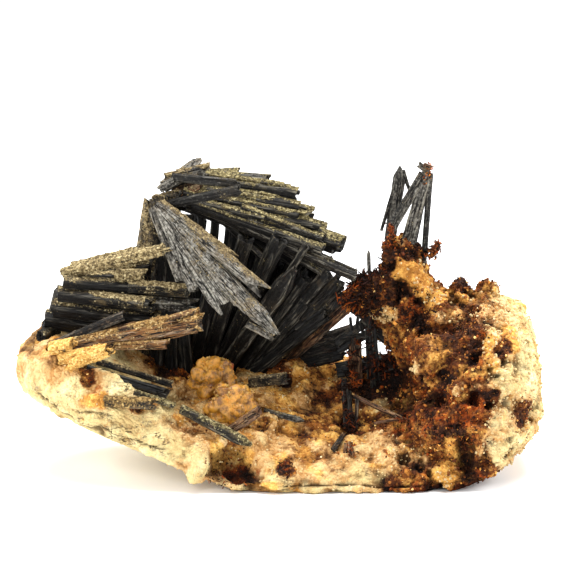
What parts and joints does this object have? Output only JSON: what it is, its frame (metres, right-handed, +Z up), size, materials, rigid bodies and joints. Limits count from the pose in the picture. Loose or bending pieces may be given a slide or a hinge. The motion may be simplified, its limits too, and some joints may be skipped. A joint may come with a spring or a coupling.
{
  "type": "stibnite specimen",
  "caption": "Hand specimen of stibnite: sprays of long flattened striated grey prisms on a boat-shaped pale rock with a rusty crag at one end.",
  "frame": {"origin": "middle of the specimen's bounding box, on the surface it rests on", "axes": "+X towards the rusty crag, +Y towards the back, +Z up"},
  "size_m": [0.0788, 0.0376, 0.0474],
  "materials": {
    "pale_rock": "crumbly cream rock, stained orange to dark brown by iron",
    "grey_stibnite": "grey metallic prisms, dulled, striated along their length",
    "dark_stibnite": "near-black striated prisms",
    "crusted_stibnite": "dark prisms under an olive to ochre alteration crust",
    "rusty_stibnite": "dark prisms with a red-brown iron stain",
    "amber_crystal": "translucent honey-coloured, rough skin"
  },
  "bodies": {
    "root": {"matrix": "pale_rock", "left_ledge_spray": "crusted_stibnite", "left_stout_spray": "rusty_stibnite", "left_gold_blade": "crusted_stibnite", "central_fan": "grey_stibnite", "back_skirt": "dark_stibnite", "crown_spray": "grey_stibnite", "roof_sheaf": "crusted_stibnite", "inner_curtain": "dark_stibnite", "cellar_spray": "rusty_stibnite", "front_double_blade": "dark_stibnite", "front_thin_lath": "crusted_stibnite", "front_fuzzy_blade": "crusted_stibnite", "floor_pointed_prism": "crusted_stibnite", "floor_brown_blade": "rusty_stibnite", "floor_dark_blade": "dark_stibnite", "floor_slim_prism": "grey_stibnite", "hanging_needle_left": "rusty_stibnite", "hanging_needle_right": "dark_stibnite", "twig_spray": "rusty_stibnite", "spire_left_fan": "grey_stibnite", "spire_right_fan": "grey_stibnite", "lone_needle": "grey_stibnite", "amber_lump_back": "amber_crystal", "amber_lump_front": "amber_crystal"}
  },
  "joints": []
}
